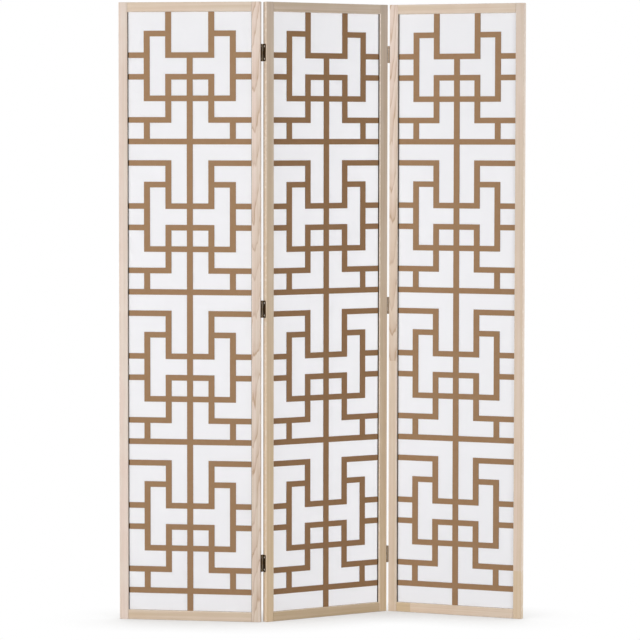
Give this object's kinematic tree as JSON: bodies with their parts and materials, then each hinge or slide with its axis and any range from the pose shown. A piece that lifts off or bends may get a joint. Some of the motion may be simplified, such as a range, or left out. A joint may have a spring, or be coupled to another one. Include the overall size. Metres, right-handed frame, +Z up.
{
  "type": "shoji folding screen",
  "caption": "Freestanding folding screen: pale wood frames with a brown fretwork lattice over white paper, joined by butt hinges so that the panels fold flat.",
  "frame": {"origin": "on the floor, at the middle of the screen's footprint as it stands in a zigzag", "axes": "+Z up, -Y towards the viewer in front, +X to the viewer's right"},
  "size_m": [1.1828, 0.2412, 1.8],
  "materials": {
    "frame_wood": "fine-sanded pale softwood, clear matt lacquer",
    "bead_wood": "fine-sanded pale softwood, unlacquered",
    "lattice_board": "brown-faced thin fibreboard, matt",
    "shoji_paper": "matt translucent fibrous paper",
    "hinge_bronze": "dark bronze-plated steel, satin"
  },
  "bodies": {
    "middle_panel": {"middle_stile_left": "frame_wood", "middle_stile_right": "frame_wood", "middle_rail_bottom": "frame_wood", "middle_rail_top": "frame_wood", "middle_lattice": "lattice_board", "middle_paper": "shoji_paper", "middle_bead_left": "bead_wood", "middle_bead_right": "bead_wood", "middle_bead_bottom": "bead_wood", "middle_bead_top": "bead_wood", "left_hinge_top_inner_leaf": "hinge_bronze", "left_hinge_top_pin": "hinge_bronze", "left_hinge_middle_inner_leaf": "hinge_bronze", "left_hinge_middle_pin": "hinge_bronze", "left_hinge_bottom_inner_leaf": "hinge_bronze", "left_hinge_bottom_pin": "hinge_bronze", "right_hinge_top_inner_leaf": "hinge_bronze", "right_hinge_top_pin": "hinge_bronze", "right_hinge_middle_inner_leaf": "hinge_bronze", "right_hinge_middle_pin": "hinge_bronze", "right_hinge_bottom_inner_leaf": "hinge_bronze", "right_hinge_bottom_pin": "hinge_bronze"},
    "left_panel": {"left_stile_left": "frame_wood", "left_stile_right": "frame_wood", "left_rail_bottom": "frame_wood", "left_rail_top": "frame_wood", "left_lattice": "lattice_board", "left_paper": "shoji_paper", "left_bead_left": "bead_wood", "left_bead_right": "bead_wood", "left_bead_bottom": "bead_wood", "left_bead_top": "bead_wood", "left_hinge_top_outer_leaf": "hinge_bronze", "left_hinge_middle_outer_leaf": "hinge_bronze", "left_hinge_bottom_outer_leaf": "hinge_bronze"},
    "right_panel": {"right_stile_left": "frame_wood", "right_stile_right": "frame_wood", "right_rail_bottom": "frame_wood", "right_rail_top": "frame_wood", "right_lattice": "lattice_board", "right_paper": "shoji_paper", "right_bead_left": "bead_wood", "right_bead_right": "bead_wood", "right_bead_bottom": "bead_wood", "right_bead_top": "bead_wood", "right_hinge_top_outer_leaf": "hinge_bronze", "right_hinge_middle_outer_leaf": "hinge_bronze", "right_hinge_bottom_outer_leaf": "hinge_bronze"}
  },
  "joints": [
    {"name": "left_fold", "type": "hinge", "parent": "middle_panel", "child": "left_panel", "pos_m": [-0.17329, -0.10275, 0.9125], "axis": [0, 0, 1], "range_deg": [-139.5, 40.5]},
    {"name": "right_fold", "type": "hinge", "parent": "middle_panel", "child": "right_panel", "pos_m": [0.19533, 0.10471, 0.9125], "axis": [0, 0, 1], "range_deg": [-126, 54]}
  ]
}
